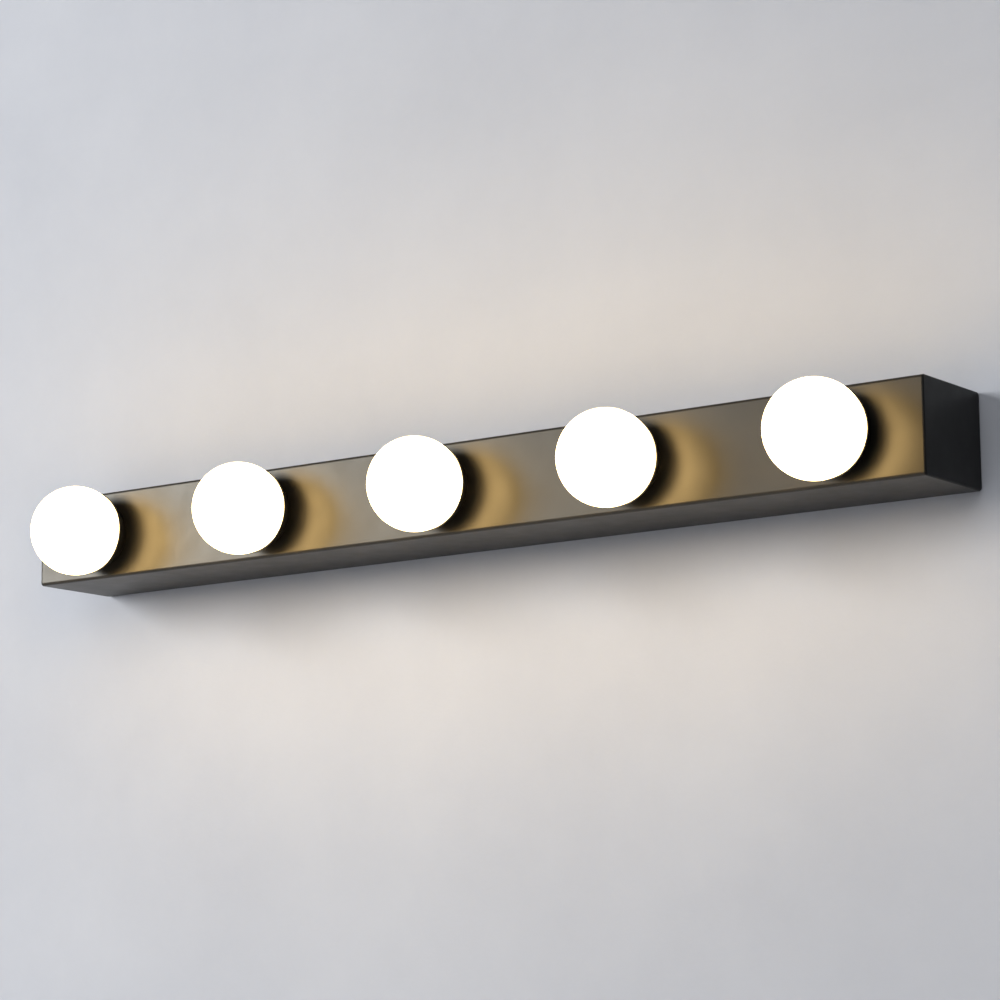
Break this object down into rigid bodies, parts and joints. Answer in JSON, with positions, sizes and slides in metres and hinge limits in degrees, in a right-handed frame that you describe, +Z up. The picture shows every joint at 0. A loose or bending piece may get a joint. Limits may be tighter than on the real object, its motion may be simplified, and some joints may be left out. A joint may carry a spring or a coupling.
{
  "type": "vanity light bar",
  "caption": "Wall-mounted box bar light: black folded-steel channel over a slotted wall bracket, with opal globe bulbs screwed into recessed lampholders along its front.",
  "frame": {"origin": "centre of the wall bracket's back face, midway between its two wall slots, on the wall plane", "axes": "+X along the bar to the right as seen from the room, +Y into the wall, +Z up; the globes face -Y"},
  "size_m": [0.7, 0.1277, 0.0638],
  "materials": {
    "black_powder_coat": "fine satin powder coat",
    "black_trim": "satin",
    "zinc_steel": "zinc plated",
    "brass": "satin",
    "nickel": "satin nickel plate",
    "opal": "opal diffuser, lit",
    "white_plastic": "satin",
    "holder_black": "moulded phenolic",
    "terminal_white": "moulded",
    "rubber_black": "matt",
    "led_board": "white solder mask",
    "circuit_green": "solder mask",
    "insulator_black": "vitrite",
    "wire_brown": "PVC",
    "wire_blue": "PVC",
    "wire_green": "PVC"
  },
  "bodies": {
    "wall_side": {"wall_bracket": "zinc_steel", "cable_grommet": "rubber_black", "bracket_earth_screw": "brass"},
    "bar": {"bar_channel": "black_powder_coat", "end_plate_left": "black_powder_coat", "end_plate_right": "black_powder_coat", "clamp_tabs": "zinc_steel", "lampholder_bodies": "holder_black", "lampholder_collars": "black_trim", "lampholder_shells": "brass", "lampholder_contacts": "brass", "lampholder_terminal_screws": "brass", "terminal_block": "terminal_white", "terminal_inserts": "brass", "terminal_screws": "zinc_steel", "weld_studs": "zinc_steel", "stud_nuts": "zinc_steel", "earth_lug": "brass", "live_wires": "wire_brown", "neutral_wires": "wire_blue", "earth_wire": "wire_green"},
    "left_washer": {"fixing_washer_left": "black_trim"},
    "left_screw": {"fixing_screw_left": "black_trim"},
    "right_washer": {"fixing_washer_right": "black_trim"},
    "right_screw": {"fixing_screw_right": "black_trim"},
    "bulb_1_tip": {"bulb_1_insulator": "insulator_black", "bulb_1_contact": "brass"},
    "bulb_1": {"bulb_1_globe": "opal", "bulb_1_neck": "white_plastic", "bulb_1_led_board": "led_board", "bulb_1_driver_board": "circuit_green", "bulb_1_screw_cap": "nickel"},
    "bulb_2_tip": {"bulb_2_insulator": "insulator_black", "bulb_2_contact": "brass"},
    "bulb_2": {"bulb_2_globe": "opal", "bulb_2_neck": "white_plastic", "bulb_2_led_board": "led_board", "bulb_2_driver_board": "circuit_green", "bulb_2_screw_cap": "nickel"},
    "bulb_3_tip": {"bulb_3_insulator": "insulator_black", "bulb_3_contact": "brass"},
    "bulb_3": {"bulb_3_globe": "opal", "bulb_3_neck": "white_plastic", "bulb_3_led_board": "led_board", "bulb_3_driver_board": "circuit_green", "bulb_3_screw_cap": "nickel"},
    "bulb_4_tip": {"bulb_4_insulator": "insulator_black", "bulb_4_contact": "brass"},
    "bulb_4": {"bulb_4_globe": "opal", "bulb_4_neck": "white_plastic", "bulb_4_led_board": "led_board", "bulb_4_driver_board": "circuit_green", "bulb_4_screw_cap": "nickel"},
    "bulb_5_tip": {"bulb_5_insulator": "insulator_black", "bulb_5_contact": "brass"},
    "bulb_5": {"bulb_5_globe": "opal", "bulb_5_neck": "white_plastic", "bulb_5_led_board": "led_board", "bulb_5_driver_board": "circuit_green", "bulb_5_screw_cap": "nickel"}
  },
  "joints": [
    {"name": "bar_pull_off", "type": "slide", "parent": "wall_side", "child": "bar", "axis": [0, -1, 0], "range_m": [0, 0.02]},
    {"name": "left_screw_travel", "type": "slide", "parent": "bar", "child": "left_washer", "axis": [0, 0, 1], "range_m": [0, 0.0049]},
    {"name": "left_screw_turn", "type": "hinge", "parent": "left_washer", "child": "left_screw", "pos_m": [-0.24, -0.0095, 0.0308], "axis": [0, 0, 1], "range_deg": [0, 2520]},
    {"name": "right_screw_travel", "type": "slide", "parent": "bar", "child": "right_washer", "axis": [0, 0, 1], "range_m": [0, 0.0049]},
    {"name": "right_screw_turn", "type": "hinge", "parent": "right_washer", "child": "right_screw", "pos_m": [0.24, -0.0095, 0.0308], "axis": [0, 0, 1], "range_deg": [0, 2520]},
    {"name": "bulb_1_travel", "type": "slide", "parent": "bar", "child": "bulb_1_tip", "axis": [0, -1, 0], "range_m": [0, 0.01996]},
    {"name": "bulb_1_turn", "type": "hinge", "parent": "bulb_1_tip", "child": "bulb_1", "pos_m": [-0.292, -0.07, 0], "axis": [0, -1, 0], "range_deg": [0, 1980]},
    {"name": "bulb_2_travel", "type": "slide", "parent": "bar", "child": "bulb_2_tip", "axis": [0, -1, 0], "range_m": [0, 0.01996]},
    {"name": "bulb_2_turn", "type": "hinge", "parent": "bulb_2_tip", "child": "bulb_2", "pos_m": [-0.146, -0.07, 0], "axis": [0, -1, 0], "range_deg": [0, 1980]},
    {"name": "bulb_3_travel", "type": "slide", "parent": "bar", "child": "bulb_3_tip", "axis": [0, -1, 0], "range_m": [0, 0.01996]},
    {"name": "bulb_3_turn", "type": "hinge", "parent": "bulb_3_tip", "child": "bulb_3", "pos_m": [0, -0.07, 0], "axis": [0, -1, 0], "range_deg": [0, 1980]},
    {"name": "bulb_4_travel", "type": "slide", "parent": "bar", "child": "bulb_4_tip", "axis": [0, -1, 0], "range_m": [0, 0.01996]},
    {"name": "bulb_4_turn", "type": "hinge", "parent": "bulb_4_tip", "child": "bulb_4", "pos_m": [0.146, -0.07, 0], "axis": [0, -1, 0], "range_deg": [0, 1980]},
    {"name": "bulb_5_travel", "type": "slide", "parent": "bar", "child": "bulb_5_tip", "axis": [0, -1, 0], "range_m": [0, 0.01996]},
    {"name": "bulb_5_turn", "type": "hinge", "parent": "bulb_5_tip", "child": "bulb_5", "pos_m": [0.292, -0.07, 0], "axis": [0, -1, 0], "range_deg": [0, 1980]}
  ],
  "couplings": [
    {"joint": "left_screw_turn", "follows": "left_screw_travel", "rad_per_m": 8976},
    {"joint": "right_screw_turn", "follows": "right_screw_travel", "rad_per_m": 8976},
    {"joint": "bulb_1_turn", "follows": "bulb_1_travel", "rad_per_m": 1731.4},
    {"joint": "bulb_2_turn", "follows": "bulb_2_travel", "rad_per_m": 1731.4},
    {"joint": "bulb_3_turn", "follows": "bulb_3_travel", "rad_per_m": 1731.4},
    {"joint": "bulb_4_turn", "follows": "bulb_4_travel", "rad_per_m": 1731.4},
    {"joint": "bulb_5_turn", "follows": "bulb_5_travel", "rad_per_m": 1731.4}
  ]
}
